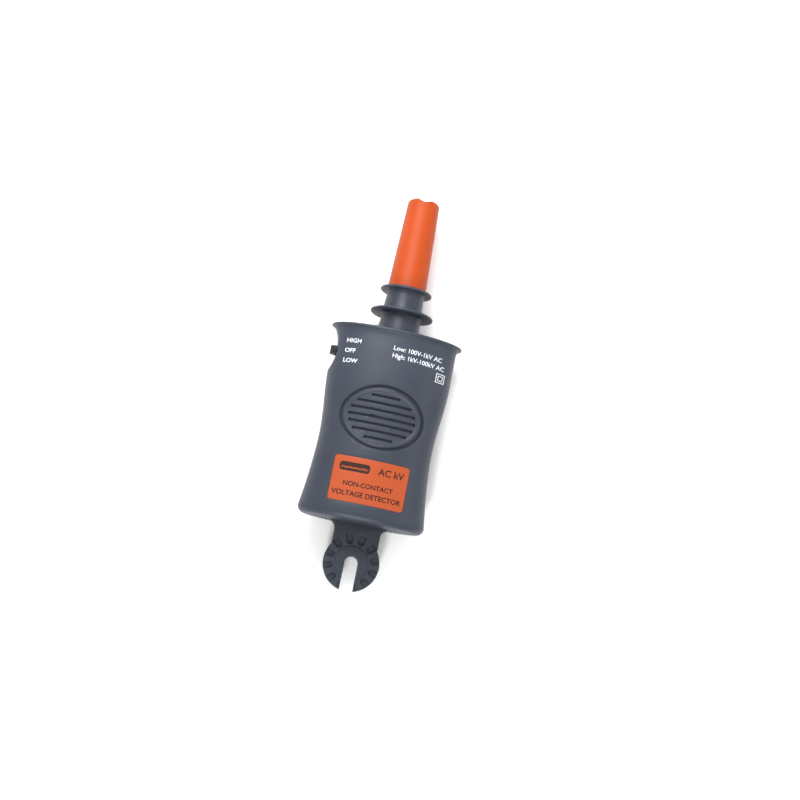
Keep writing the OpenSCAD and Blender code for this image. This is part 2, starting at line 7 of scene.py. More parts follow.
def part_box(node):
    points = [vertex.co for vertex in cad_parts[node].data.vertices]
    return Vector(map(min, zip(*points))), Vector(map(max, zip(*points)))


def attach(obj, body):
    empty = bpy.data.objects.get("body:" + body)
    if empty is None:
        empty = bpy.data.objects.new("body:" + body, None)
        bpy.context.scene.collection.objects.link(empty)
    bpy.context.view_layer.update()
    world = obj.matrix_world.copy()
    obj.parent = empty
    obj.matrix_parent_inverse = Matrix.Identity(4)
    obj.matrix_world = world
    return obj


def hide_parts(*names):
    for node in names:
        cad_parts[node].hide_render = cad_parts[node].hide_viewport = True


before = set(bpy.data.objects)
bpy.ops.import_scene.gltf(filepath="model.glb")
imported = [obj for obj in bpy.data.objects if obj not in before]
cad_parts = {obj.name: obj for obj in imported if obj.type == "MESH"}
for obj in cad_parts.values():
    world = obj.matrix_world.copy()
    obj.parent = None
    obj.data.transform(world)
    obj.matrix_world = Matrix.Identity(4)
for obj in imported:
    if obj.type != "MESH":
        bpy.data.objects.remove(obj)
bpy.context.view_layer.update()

MM = 0.001

# ---------------------------------------------------------------- Studio
# A pale floor, soft round panels and the camera, which looks down on the tester as it lies
# on its back, from a little towards the lug and to the left.
def new_material(name, colour, roughness=0.5, metallic=0.0, shine=0.5):
    """A Principled material with plain values; returns it with its nodes and its shader."""
    made = bpy.data.materials.new(name)
    made.use_nodes = True
    shader = made.node_tree.nodes["Principled BSDF"]
    shader.inputs["Base Color"].default_value = (*colour, 1)
    shader.inputs["Roughness"].default_value = roughness
    shader.inputs["Metallic"].default_value = metallic
    shader.inputs["Specular IOR Level"].default_value = shine
    return made, shader


bpy.ops.object.select_all(action="DESELECT")
bpy.ops.mesh.primitive_plane_add(size=8, location=(0, 0, 0))
floor = bpy.context.object
floor.name = "floor"
floor.data.materials.append(new_material("pale_floor", (0.96, 0.96, 0.96), 0.9, shine=0.1)[0])

air = bpy.data.worlds.new("studio_air")
air.use_nodes = True
air.node_tree.nodes["Background"].inputs["Color"].default_value = (1, 1, 1, 1)
air.node_tree.nodes["Background"].inputs["Strength"].default_value = 0.9
bpy.context.scene.world = air
bpy.context.scene.view_settings.view_transform = "Standard"


def soft_panel(name, place, size, power):
    """A round area light that faces the tester."""
    bpy.ops.object.light_add(type="AREA", location=place)
    panel = bpy.context.object
    panel.name = name
    panel.data.shape = "DISK"
    panel.data.size = size
    panel.data.energy = power
    panel.rotation_euler = (-Vector(place)).to_track_quat("-Z", "Y").to_euler()


soft_panel("tip_panel", (-0.10, 0.24, 0.34), 0.24, 1.8)
soft_panel("foot_panel", (-0.10, -0.95, 0.72), 0.22, 7)
soft_panel("right_panel", (1.2, 0.1, 0.9), 0.5, 2)

camera_place = Vector((-0.0437, -0.19745, 1.1075))
camera_aim = Vector((0.011, -0.00305, 0.02))
bpy.ops.object.camera_add(location=camera_place)
camera = bpy.context.object
camera.name = "camera"
forward = (camera_aim - camera_place).normalized()
sideways = forward.cross(Vector((0, 1, 0))).normalized()
camera.rotation_euler = Matrix((sideways, sideways.cross(forward), -forward)).transposed().to_euler()
camera.rotation_euler.rotate_axis("Z", math.radians(11.33))
camera.data.angle = math.radians(28.8)
camera.data.clip_start = 0.01
bpy.context.scene.camera = camera

# ---------------------------------------------------------------- Rear shell
# The back half of the body, moulded in fine-grained blue-grey ABS. It is half of a flat oval
# tube with a waist and a lip, with the battery bay, its rails, the lug's pocket and six bosses.
foot, rim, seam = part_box("rear_shell")[0].y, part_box("rear_shell")[1].y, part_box("rear_shell")[1].z
body_length = rim - foot
waist_half, waist_depth, waist_height = 40.3 * MM, 21.45 * MM, 57 * MM
shoulder_out, shoulder_height = 3.4 * MM, 106 * MM
foot_out, foot_round = 4.5 * MM, 5 * MM
lip_out, lip_thickness, lip_rise = 3.3 * MM, 2 * MM, 4.5 * MM
flare_power = 1.7
side_steps, round_steps = 40, 8
wall = 2.5 * MM
reach = 0.1


def half_width(height):
    """Half width of the body at a height above its foot."""
    if height >= waist_height:
        share = min(1, (height - waist_height) / (shoulder_height - waist_height))
        return waist_half + shoulder_out * (1 - math.cos(math.pi * share)) / 2
    share = min(1, (waist_height - height) / (waist_height - foot_round))
    return waist_half + foot_out * share ** flare_power


def quarter(steps):
    """The angles of a quarter turn, in even steps."""
    return [math.pi / 2 * step / steps for step in range(steps + 1)]


def body_rings(inset, lipped=False):
    """Radius and height of the body's rings, from the foot to the rim, set in by inset."""
    corner = half_width(foot_round) - foot_round
    edge = foot_round - inset
    rings = [(corner + edge * math.sin(a), foot_round - edge * math.cos(a)) for a in quarter(round_steps)]
    top = body_length - (lip_thickness + lip_rise if lipped else max(inset, 0))
    for step in range(1, side_steps + 1):
        height = foot_round + (top - foot_round) * step / side_steps
        rings.append((half_width(height) - inset, height))
    if lipped:
        half = lip_thickness / 2
        straight = waist_half + shoulder_out
        rings += [(straight + (lip_out - half) * (1 - math.cos(a)), top + lip_rise * math.sin(a))
                  for a in quarter(round_steps)[1:-1]]
        rings += [(straight + lip_out - half + half * math.sin(a), body_length - half - half * math.cos(a))
                  for a in quarter(6) + [math.pi - b for b in reversed(quarter(6)[:-1])]]
    return rings


def turned(name, rings, start, squash=1, sides=128):
    """A closed round solid on an axis along Y, drawn out ring by ring; squash presses it flat."""
    bpy.ops.object.select_all(action="DESELECT")
    radius, height = rings[0]
    bpy.ops.mesh.primitive_circle_add(vertices=sides, radius=radius, fill_type="NGON",
                                      location=(0, start + height, seam), rotation=(-math.pi / 2, 0, 0))
    piece = bpy.context.object
    piece.name = name
    bpy.ops.object.transform_apply()
    bpy.ops.object.mode_set(mode="EDIT")
    bpy.ops.mesh.select_all(action="SELECT")
    for new_radius, new_height in rings[1:]:
        bpy.ops.mesh.extrude_region_move(TRANSFORM_OT_translate={"value": (0, new_height - height, 0)})
        grow = new_radius / radius
        bpy.ops.transform.resize(value=(grow, 1, grow), center_override=(0, start + new_height, seam))
        radius, height = new_radius, new_height
    bpy.ops.mesh.select_all(action="SELECT")
    bpy.ops.transform.resize(value=(1, 1, squash), center_override=(0, 0, seam))
    bpy.ops.mesh.normals_make_consistent(inside=False)
    bpy.ops.object.mode_set(mode="OBJECT")
    return piece


def oval_body(inset, lipped=False, sides=160):
    """The body's oval solid, set in by inset; the outside has the lip."""
    squash = (waist_depth - inset) / (waist_half - inset)
    return turned("oval_body", body_rings(inset, lipped), foot, squash, sides)


def pick(piece):
    """Selects one piece alone and makes it the active one."""
    bpy.ops.object.select_all(action="DESELECT")
    piece.select_set(True)
    bpy.context.view_layer.objects.active = piece


def carve(piece, tool, how="DIFFERENCE"):
    """Cuts a tool's shape out of a piece, or joins it, or keeps what they share."""
    step = piece.modifiers.new("carve", "BOOLEAN")
    step.operation = how
    step.object = tool
    step.solver = "EXACT"
    bpy.context.view_layer.objects.active = piece
    bpy.ops.object.modifier_apply(modifier="carve")
    bpy.data.objects.remove(tool)
    return piece


def block(low, high):
    """A box between two corners, as a blank or a cutting tool."""
    bpy.ops.object.select_all(action="DESELECT")
    bpy.ops.mesh.primitive_cube_add(size=1, location=[(a + b) / 2 for a, b in zip(low, high)],
                                    scale=[abs(b - a) for a, b in zip(low, high)])
    bpy.ops.object.transform_apply()
    return bpy.context.object


def post(x, y, low, high, radius, sides=48):
    """A round post that stands along Z."""
    bpy.ops.object.select_all(action="DESELECT")
    bpy.ops.mesh.primitive_cylinder_add(vertices=sides, radius=radius, depth=high - low,
                                        location=(x, y, (low + high) / 2))
    bpy.ops.object.transform_apply()
    return bpy.context.object


def gather(pieces):
    """Joins separate pieces into one object."""
    bpy.ops.object.select_all(action="DESELECT")
    for piece in pieces:
        piece.select_set(True)
    bpy.context.view_layer.objects.active = pieces[0]
    bpy.ops.object.join()
    return pieces[0]


def soften(piece, width, angle=32, segments=3, smooth=40, merge=0.00002):
    """Rounds a piece's sharp edges and smooths its shading."""
    pick(piece)
    bpy.ops.object.mode_set(mode="EDIT")
    bpy.ops.mesh.select_all(action="SELECT")
    bpy.ops.mesh.remove_doubles(threshold=merge)
    bpy.ops.object.mode_set(mode="OBJECT")
    edge = piece.modifiers.new("edge", "BEVEL")
    edge.limit_method = "ANGLE"
    edge.angle_limit = math.radians(angle)
    edge.width = width
    edge.segments = segments
    edge.use_clamp_overlap = False
    bpy.ops.object.modifier_apply(modifier="edge")
    bpy.ops.object.shade_smooth_by_angle(angle=math.radians(smooth))


def fit(piece, name, material, slot, body="housing", *nodes):
    """Names a finished piece, gives it its material and body, and hides the CAD nodes it stands for; the slot
    argument is not used.
    """
    piece.name = name
    piece.data.name = name
    piece.data.materials.clear()
    piece.data.materials.append(material)
    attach(piece, body)
    if nodes:
        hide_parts(*nodes)


def node_in(tree, kind, **values):
    """Adds a node and sets its properties, or its inputs where a name matches one."""
    node = tree.nodes.new(kind)
    for name, value in values.items():
        if hasattr(node, name):
            setattr(node, name, value)
        else:
            node.inputs[name.replace("_", " ")].default_value = value
    return node


def finish_group(name, inputs):
    """An empty node group with the named inputs, and with a finish's three outputs."""
    group = bpy.data.node_groups.new(name, "ShaderNodeTree")
    for label, kind in inputs.items():
        group.interface.new_socket(label, in_out="INPUT", socket_type="NodeSocket" + kind)
    for label, kind in (("Colour", "Color"), ("Roughness", "Float"), ("Normal", "Vector")):
        group.interface.new_socket(label, in_out="OUTPUT", socket_type="NodeSocket" + kind)
    given = group.nodes.new("NodeGroupInput")
    made = group.nodes.new("NodeGroupOutput")
    place = group.nodes.new("ShaderNodeTexCoord")
    return group, given, made, place


def moulded_grain():
    """A group for moulded plastic: a spark-eroded grain, faint cloudiness and uneven gloss."""
    group, given, made, place = finish_group("moulded_grain", {
        "Colour": "Color", "Cloud colour": "Color", "Grain": "Float", "Gloss": "Float"})
    grain = node_in(group, "ShaderNodeTexNoise", Scale=1500.0, Detail=3.0, Roughness=0.6)
    cloud = node_in(group, "ShaderNodeTexNoise", Scale=26.0, Detail=4.0, Roughness=0.55)
    smear = node_in(group, "ShaderNodeTexNoise", Scale=90.0, Detail=5.0, Roughness=0.7)
    bump = node_in(group, "ShaderNodeBump", Distance=0.00006)
    spread = node_in(group, "ShaderNodeMapRange", From_Min=0.35, From_Max=0.65)
    blend = node_in(group, "ShaderNodeMix", data_type="RGBA")
    gloss = node_in(group, "ShaderNodeMath", operation="MULTIPLY_ADD")
    gloss.inputs[1].default_value = 0.16
    for texture in (grain, cloud, smear):
        group.links.new(place.outputs["Object"], texture.inputs["Vector"])
    group.links.new(grain.outputs["Fac"], bump.inputs["Height"])
    group.links.new(given.outputs["Grain"], bump.inputs["Strength"])
    group.links.new(cloud.outputs["Fac"], spread.inputs["Value"])
    group.links.new(spread.outputs["Result"], blend.inputs["Factor"])
    group.links.new(given.outputs["Colour"], blend.inputs["A"])
    group.links.new(given.outputs["Cloud colour"], blend.inputs["B"])
    group.links.new(smear.outputs["Fac"], gloss.inputs[0])
    group.links.new(given.outputs["Gloss"], gloss.inputs[2])
    group.links.new(blend.outputs["Result"], made.inputs["Colour"])
    group.links.new(gloss.outputs["Value"], made.inputs["Roughness"])
    group.links.new(bump.outputs["Normal"], made.inputs["Normal"])
    return group


grain_group = moulded_grain()


def add_finish(made, shader, group, values):
    """Places a finish group in a material, gives it its values and wires it to the shader."""
    finish = made.node_tree.nodes.new("ShaderNodeGroup")
    finish.node_tree = group
    for label, value in values.items():
        finish.inputs[label].default_value = value
    for output, socket in (("Colour", "Base Color"), ("Roughness", "Roughness"), ("Normal", "Normal")):
        made.node_tree.links.new(finish.outputs[output], shader.inputs[socket])
    return made


def plastic(name, colour, cloud_colour, grain=0.3, gloss=0.42, shine=0.25):
    """Moulded plastic with its own grain, cloudiness and gloss."""
    made, shader = new_material(name, colour, gloss, shine=shine)
    return add_finish(made, shader, grain_group, {"Colour": (*colour, 1), "Cloud colour": (*cloud_colour, 1),
                                                  "Grain": grain, "Gloss": gloss})


body_plastic = plastic("body_plastic", (0.032, 0.039, 0.056), (0.026, 0.032, 0.047), 0.35, 0.36, 0.34)

scoop_radius, scoop_depth, switch_drop = 32 * MM, 4 * MM, 19 * MM
switch_y = rim - switch_drop
scoop_face = -(waist_half + shoulder_out - scoop_depth)
seat_half, seat_rise = 8 * MM, 4.3 * MM
stem_reach, stem_rise = 5.9 * MM, 1.9 * MM
neck_radius = 14.7 * MM
boss_radius, screw_depth, screw_well, screw_hole = 4.4 * MM, 6.5 * MM, 3.1 * MM, 1.6 * MM
screw_rows = [foot + row * MM for row in (18, 62, 97)]
screw_column = 33 * MM


def scoop_tool(grow=0.0):
    """The cylinder that hollows the left side, stopped under the lip."""
    scoop = post(scoop_face - scoop_radius, switch_y, seam - reach, seam + reach, scoop_radius + grow, 256)
    return carve(scoop, block((-2 * reach, rim - 3 * MM, -reach), (reach, rim + reach, 2 * reach)))


def half_shell(front):
    """Half of the hollow body, with the pad behind the scoop, the knob's seat and the neck's bore."""
    shell = carve(oval_body(0, lipped=True), oval_body(wall, sides=80))
    carve(shell, carve(scoop_tool(wall), oval_body(wall / 2, sides=80), "INTERSECT"), "UNION")
    low, high = (-reach, seam) if front else (seam, 2 * reach)
    carve(shell, block((-reach, -2 * reach, low), (reach, 2 * reach, high)))
    carve(shell, scoop_tool())
    carve(shell, block((-reach, switch_y - seat_half, seam - seat_rise),
                       (scoop_face, switch_y + seat_half, seam + seat_rise)))
    carve(shell, block((-reach, switch_y - stem_reach, seam - stem_rise),
                       (scoop_face + wall + 1 * MM, switch_y + stem_reach, seam + stem_rise)))
    carve(shell, turned("neck_bore", [(neck_radius, 0), (neck_radius, 40 * MM)], rim - 12 * MM))
    return shell


bay_half, bay_start, bay_end = 23.2 * MM, foot + 11.5 * MM, foot + 69 * MM
cover_half, rail_depth, rail_top, rail_thick = 25 * MM, 1.5 * MM, 10.9 * MM, 1.7 * MM
rail_block, shelf_drop, roof_drop, roof_thick = 29 * MM, 15 * MM, 0.3 * MM, 1.4 * MM
bay_wall, slack = 1.8 * MM, 0.3 * MM
cover_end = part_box("battery_cover")[1].y


def cover_opening():
    """All that the battery cover and its two rails take out of the rear shell."""
    end, top = cover_end + slack, seam - rail_top + slack
    opening = block((-bay_half, foot - reach, -reach), (bay_half, end, seam - shelf_drop))
    tools = []
    for side in (-1, 1):
        left, right = sorted((side * (bay_half - 0.4 * MM), side * cover_half))
        tools.append(block((left, foot - reach, -reach), (right, end, top)))
        left, right = sorted((side * (cover_half - slack), side * (cover_half + rail_depth)))
        tools.append(block((left, foot - reach, seam - rail_top - rail_thick - slack), (right, end, top)))
    for tool in tools:
        carve(opening, tool, "UNION")
    return opening


rear = half_shell(front=False)
bay = block((-rail_block, foot, -reach), (rail_block, bay_end + bay_wall, seam - roof_drop))
for side in (-1, 1):
    for row in screw_rows:
        carve(bay, post(side * screw_column, row, -reach, seam - 0.02 * MM, boss_radius), "UNION")
carve(bay, block((-bay_half, bay_start, -2 * reach), (bay_half, bay_end, seam - roof_drop - roof_thick)))
carve(rear, carve(bay, oval_body(wall / 2), "INTERSECT"), "UNION")
carve(rear, cover_opening())
lug_low, lug_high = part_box("spline_lug")[0].z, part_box("spline_lug")[0].z + 8 * MM
pocket_half, pocket_end, play = 16.1 * MM, foot + 9.3 * MM, 0.1 * MM
carve(rear, block((-pocket_half, foot - reach, lug_low - play), (pocket_half, pocket_end, lug_high + play)))
for side in (-1, 1):
    for row in screw_rows:
        carve(rear, post(side * screw_column, row, -reach, seam - screw_depth, screw_well))
        carve(rear, post(side * screw_column, row, -reach, seam + reach, screw_hole))
soften(rear, 0.3 * MM)
fit(rear, "rear_shell_moulding", body_plastic, "body_plastic", "housing", "rear_shell")

# ---------------------------------------------------------------- Spline lug
# The flat universal spline lug, moulded in a darker glass-filled plastic. Its root sits in the
# rear shell's pocket. Twelve recesses and a U slot take the toothed head and bolt of a hot stick.
lug_y = foot - 27.4 * MM
spline_radius, lug_neck_half, lug_fillet = 19.75 * MM, 16.25 * MM, 6 * MM
lug_slot, root_step = 9.6 * MM, 0.5 * MM
hub_radius, hub_rise = 11.7 * MM, 0.8 * MM
recess_count, recess_depth, recess_width, recess_start = 12, 2.2 * MM, 4.8 * MM, 13.2 * MM


def slab(points, low, high):
    """A flat slab between two heights, drawn point by point round its outline and pulled up."""
    bpy.ops.object.select_all(action="DESELECT")
    bpy.ops.mesh.primitive_plane_add(size=1 * MM, location=(*points[0], low))
    piece = bpy.context.object
    bpy.ops.object.transform_apply()
    bpy.ops.object.mode_set(mode="EDIT")
    bpy.ops.mesh.select_mode(type="VERT")
    bpy.ops.mesh.select_all(action="SELECT")
    bpy.ops.mesh.merge(type="CENTER")
    for (x, y), (next_x, next_y) in zip(points, points[1:]):
        bpy.ops.mesh.extrude_vertices_move(TRANSFORM_OT_translate={"value": (next_x - x, next_y - y, 0)})
    bpy.ops.mesh.select_all(action="SELECT")
    bpy.ops.mesh.edge_face_add()
    bpy.ops.mesh.extrude_region_move(TRANSFORM_OT_translate={"value": (0, 0, high - low)})
    bpy.ops.mesh.select_all(action="SELECT")
    bpy.ops.mesh.normals_make_consistent(inside=False)
    bpy.ops.mesh.select_mode(type="FACE")
    bpy.ops.object.mode_set(mode="OBJECT")
    return piece


def lug_side():
    """The right side of the lug's outline, from the U slot's mouth up to the end of the root."""
    mouth = math.asin(lug_slot / 2 / spline_radius)
    join = math.pi - math.asin(lug_neck_half / spline_radius)
    turns = [mouth + (join - mouth) * step / 64 for step in range(65)]
    side = [(spline_radius * math.sin(a), lug_y - spline_radius * math.cos(a)) for a in turns]
    side += [(lug_neck_half + lug_fillet * (1 - math.cos(a)), foot + lug_fillet * (math.sin(a) - 1))
             for a in quarter(11)[:9]]
    side.append((side[-1][0], foot))
    return side + [(lug_neck_half - root_step, foot), (lug_neck_half - root_step, foot + 9.2 * MM)]


def half_turn(steps):
    """The angles of a half turn, in even steps."""
    return [math.pi * step / steps for step in range(steps + 1)]


def lug_recess(turn):
    """One rounded recess in the disc's face, open at its rim."""
    start, half = recess_start + recess_width / 2, recess_width / 2
    points = [(start + recess_width, half), (start, half)]
    points += [(start - half * math.sin(a), half * math.cos(a)) for a in half_turn(12)[1:-1]]
    points += [(start, -half), (start + recess_width, -half)]
    sine, cosine = math.sin(turn), math.cos(turn)
    points = [(x * cosine - y * sine, lug_y + x * sine + y * cosine) for x, y in points]
    return slab(points, lug_high - recess_depth, lug_high + 5 * MM)


def slot_arc():
    """The round end of the U slot, from its left side over to its right side."""
    return [(-lug_slot / 2 * math.cos(a), lug_y + lug_slot / 2 * math.sin(a)) for a in half_turn(32)]


right_side = lug_side()
left_side = [(-x, y) for x, y in reversed(right_side)]
lug = slab(right_side + left_side + slot_arc(), lug_low, lug_high)
soften(lug, 0.2 * MM, angle=60)
recess_turns = [math.radians(360 / recess_count * (tooth + 0.5)) for tooth in range(recess_count)]
carve(lug, gather([lug_recess(turn) for turn in recess_turns]))
mouth = math.asin(lug_slot / 2 / hub_radius)
hub_turns = [mouth + 2 * (math.pi - mouth) * step / 96 for step in range(97)]
hub_round = [(hub_radius * math.sin(a), lug_y - hub_radius * math.cos(a)) for a in hub_turns]
hub = slab(hub_round + slot_arc(), lug_high - 1 * MM, lug_high + hub_rise)
soften(hub, 0.3 * MM, angle=50)
carve(lug, hub, "UNION")
soften(lug, 0.08 * MM, angle=60, segments=1, smooth=35, merge=0.00005)
lug_plastic = plastic("lug_plastic", (0.031, 0.039, 0.050), (0.025, 0.031, 0.042), 0.5, 0.40, 0.34)
fit(lug, "spline_lug_moulding", lug_plastic, "lug_plastic", "housing", "spline_lug")

# ---------------------------------------------------------------- Lug screws
# Two zinc-plated pan-head screws hold the lug's root in its pocket. They are driven from inside
# the rear shell before the front one goes on.
shank_radius, head_radius, head_height = 1.5 * MM, 2.8 * MM, 1.7 * MM


def worn_plating():
    """A group for plated metal: fine uneven gloss and a few darker stains."""
    group, given, made, place = finish_group("worn_plating", {
        "Colour": "Color", "Stain colour": "Color", "Least roughness": "Float", "Most roughness": "Float"})
    fine = node_in(group, "ShaderNodeTexNoise", Scale=1200.0, Detail=3.0)
    stain = node_in(group, "ShaderNodeTexNoise", Scale=160.0, Detail=4.0)
    gloss = node_in(group, "ShaderNodeMapRange", From_Min=0.3, From_Max=0.7)
    tint = node_in(group, "ShaderNodeMix", data_type="RGBA")
    bump = node_in(group, "ShaderNodeBump", Strength=0.2, Distance=0.00004)
    for texture in (fine, stain):
        group.links.new(place.outputs["Object"], texture.inputs["Vector"])
    group.links.new(fine.outputs["Fac"], gloss.inputs["Value"])
    group.links.new(fine.outputs["Fac"], bump.inputs["Height"])
    group.links.new(given.outputs["Least roughness"], gloss.inputs["To Min"])
    group.links.new(given.outputs["Most roughness"], gloss.inputs["To Max"])
    group.links.new(stain.outputs["Fac"], tint.inputs["Factor"])
    group.links.new(given.outputs["Stain colour"], tint.inputs["A"])
    group.links.new(given.outputs["Colour"], tint.inputs["B"])
    group.links.new(tint.outputs["Result"], made.inputs["Colour"])
    group.links.new(gloss.outputs["Result"], made.inputs["Roughness"])
    group.links.new(bump.outputs["Normal"], made.inputs["Normal"])
    return group


plating_group = worn_plating()


def plated(name, colour, roughness):
    """Plated metal with its own colour and gloss."""
    made, shader = new_material(name, colour, roughness, 1.0)
    stain = [0.72 * value for value in colour]
    return add_finish(made, shader, plating_group, {"Colour": (*colour, 1), "Stain colour": (*stain, 1),
                                                    "Least roughness": roughness - 0.07,
                                                    "Most roughness": roughness + 0.12})


def screw(x, y, head, length, up):
    """A pan-head screw along Z with a cross recess; up is the way from its head to its point."""
    shank = post(x, y, min(head, head + up * length), max(head, head + up * length), shank_radius, 32)
    top = head - up * head_height
    cap = post(x, y, min(head, top), max(head, top), head_radius, 48)
    soften(cap, 0.7 * MM, segments=5)
    carve(cap, shank, "UNION")
    deep = sorted((top - up * MM, top + up * 1.1 * MM))
    for wide, narrow in ((1.7 * MM, 0.35 * MM), (0.35 * MM, 1.7 * MM)):
        carve(cap, block((x - wide, y - narrow, deep[0]), (x + wide, y + narrow, deep[1])))
    soften(cap, 0.06 * MM, angle=50, segments=2)
    return cap


screw_steel = plated("screw_steel", (0.50, 0.50, 0.53), 0.34)
lug_screw_x, lug_screw_y, lug_screw_length = 9.5 * MM, foot + 5 * MM, 8.2 * MM
lug_screws = gather([screw(x, lug_screw_y, seam - roof_drop - head_height, lug_screw_length, -1)
                     for x in (-lug_screw_x, lug_screw_x)])
fit(lug_screws, "lug_screws_zinc", screw_steel, "screw_steel", "housing", "lug_screws")

# ---------------------------------------------------------------- Contacts and cells
# Nickel-plated spring-steel plates and coil springs stand at the bay's ends, and three AA
# cells with printed wraps lie between them, head to tail.
def coat(node, finish):
    """Gives a CAD node that stays in view its own material."""
    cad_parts[node].data.materials.clear()
    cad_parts[node].data.materials.append(finish)


spring_steel = plated("spring_steel", (0.62, 0.61, 0.58), 0.26)
coat("contact_plates", spring_steel)
coat("contact_springs", spring_steel)


def cell_wrap():
    """A printed wrap: dark green with a gold band at the nub's end, and bare metal at both ends."""
    made, shader = new_material("cell_wrap", (0.02, 0.12, 0.06), 0.3)
    tree = made.node_tree
    place = tree.nodes.new("ShaderNodeUVMap")
    place.uv_map = "along"
    split = tree.nodes.new("ShaderNodeSeparateXYZ")
    bands = node_in(tree, "ShaderNodeValToRGB")
    ramp = bands.color_ramp
    ramp.interpolation = "CONSTANT"
    ramp.elements[0].color = (0.55, 0.54, 0.52, 1)
    ramp.elements[1].position, ramp.elements[1].color = 0.03, (0.012, 0.07, 0.035, 1)
    gold, black, nickel = (0.50, 0.33, 0.09, 1), (0.015, 0.015, 0.016, 1), (0.60, 0.59, 0.57, 1)
    for position, colour in ((0.70, gold), (0.725, black), (0.90, gold), (0.955, nickel)):
        ramp.elements.new(position).color = colour
    bare = node_in(tree, "ShaderNodeValToRGB")
    bare.color_ramp.interpolation = "CONSTANT"
    bare.color_ramp.elements[0].color = (1, 1, 1, 1)
    bare.color_ramp.elements[1].position, bare.color_ramp.elements[1].color = 0.03, (0, 0, 0, 1)
    bare.color_ramp.elements.new(0.955).color = (1, 1, 1, 1)
    tree.links.new(place.outputs["UV"], split.inputs["Vector"])
    tree.links.new(split.outputs["Y"], bands.inputs["Fac"])
    tree.links.new(split.outputs["Y"], bare.inputs["Fac"])
    tree.links.new(bands.outputs["Color"], shader.inputs["Base Color"])
    tree.links.new(bare.outputs["Color"], shader.inputs["Metallic"])
    return made


wrap = cell_wrap()
base_rings = [(6.2, 0), (6.5, 0), (6.7, 0.15), (6.9, 0.1), (7.15, 0.12), (7.25, 0.35)]
case_rings = [(7.25, 12), (7.25, 24), (7.25, 36), (7.25, 48.9), (7.15, 49.2), (6.9, 49.3), (6.4, 49.15)]
nub_rings = [(3.4, 49.1), (2.75, 49.3), (2.6, 49.6), (2.6, 50.3), (2.4, 50.5)]
cell_rings = [(radius * MM, height * MM) for radius, height in base_rings + case_rings + nub_rings]
for number in (1, 2, 3):
    low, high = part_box(f"cell_{number}")
    cell = turned(f"cell_{number}_wrapped", cell_rings, low.y, sides=64)
    pick(cell)
    layer = cell.data.uv_layers.new(name="along")
    for loop in cell.data.loops:
        along = (cell.data.vertices[loop.vertex_index].co.y - low.y) / (high.y - low.y)
        layer.data[loop.index].uv = (0.5, along)
    if number == 2:
        cell.rotation_euler.z = math.pi
        cell.location = (0, low.y + high.y, 0)
        bpy.ops.object.transform_apply()
    cell.location = ((low.x + high.x) / 2, 0, (low.z + high.z) / 2 - seam)
    bpy.ops.object.transform_apply()
    bpy.ops.object.shade_smooth_by_angle(angle=math.radians(45))
    fit(cell, f"cell_{number}_wrapped", wrap, "cell_case", "housing", f"cell_{number}")

# ---------------------------------------------------------------- Main board and what it carries
# A green glass-epoxy board under the front shell carries a control chip, a capacitor, the
# sounder with its foam ring, and the slide switch with its white lever.
def solder_resist():
    """Green solder resist with fine straight tracks under it."""
    made, shader = new_material("board_laminate", (0.01, 0.10, 0.04), 0.35)
    tree = made.node_tree
    place = tree.nodes.new("ShaderNodeTexCoord")
    tracks = node_in(tree, "ShaderNodeTexBrick", Scale=55.0, Mortar_Size=0.06, Brick_Width=0.9,
                     Row_Height=0.16)
    tracks.inputs["Color1"].default_value = (0.008, 0.085, 0.035, 1)
    tracks.inputs["Color2"].default_value = (0.008, 0.075, 0.03, 1)
    tracks.inputs["Mortar"].default_value = (0.03, 0.19, 0.08, 1)
    bump = node_in(tree, "ShaderNodeBump", Strength=0.3, Distance=0.00004)
    tree.links.new(place.outputs["Object"], tracks.inputs["Vector"])
    tree.links.new(tracks.outputs["Color"], shader.inputs["Base Color"])
    tree.links.new(tracks.outputs["Fac"], bump.inputs["Height"])
    tree.links.new(bump.outputs["Normal"], shader.inputs["Normal"])
    return made


resist = solder_resist()
lead_sleeve = plastic("lead_sleeve", (0.40, 0.012, 0.01), (0.34, 0.01, 0.008), 0.05, 0.3, 0.4)
chip_epoxy = plastic("chip_epoxy", (0.012, 0.012, 0.013), (0.016, 0.016, 0.017), 0.5, 0.5)
foam = plastic("sounder_foam", (0.038, 0.043, 0.050), (0.052, 0.058, 0.066), 1.0, 0.75, 0.1)
capacitor_sleeve = plastic("capacitor_sleeve", (0.01, 0.015, 0.05), (0.008, 0.012, 0.04), 0.05, 0.25, 0.4)
lever_plastic = plastic("lever_plastic", (0.62, 0.61, 0.57), (0.58, 0.57, 0.53), 0.1, 0.4)
antenna_brass = plated("antenna_brass", (0.58, 0.39, 0.13), 0.3)
led_lens = plastic("led_lens", (0.35, 0.008, 0.006), (0.30, 0.007, 0.005), 0.02, 0.12, 0.5)
finishes = {"main_board": resist, "led_board": resist, "control_chip": chip_epoxy, "sounder": chip_epoxy,
            "sounder_seal": foam, "storage_capacitor": capacitor_sleeve, "slide_switch": spring_steel,
            "switch_lever": lever_plastic, "sensing_antenna": antenna_brass, "indicator_leds": led_lens,
            "head_leads": lead_sleeve, "battery_leads": lead_sleeve}
for node, finish in finishes.items():
    coat(node, finish)
board_screw_x, board_screw_rows, board_screw_length = 22 * MM, (24 * MM, 101 * MM), 6.6 * MM
board_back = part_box("main_board")[0].z
board_screws = gather([screw(x, foot + row, board_back, board_screw_length, 1)
                       for x in (-board_screw_x, board_screw_x) for row in board_screw_rows])
fit(board_screws, "board_screws_zinc", screw_steel, "screw_steel", "housing", "board_screws")

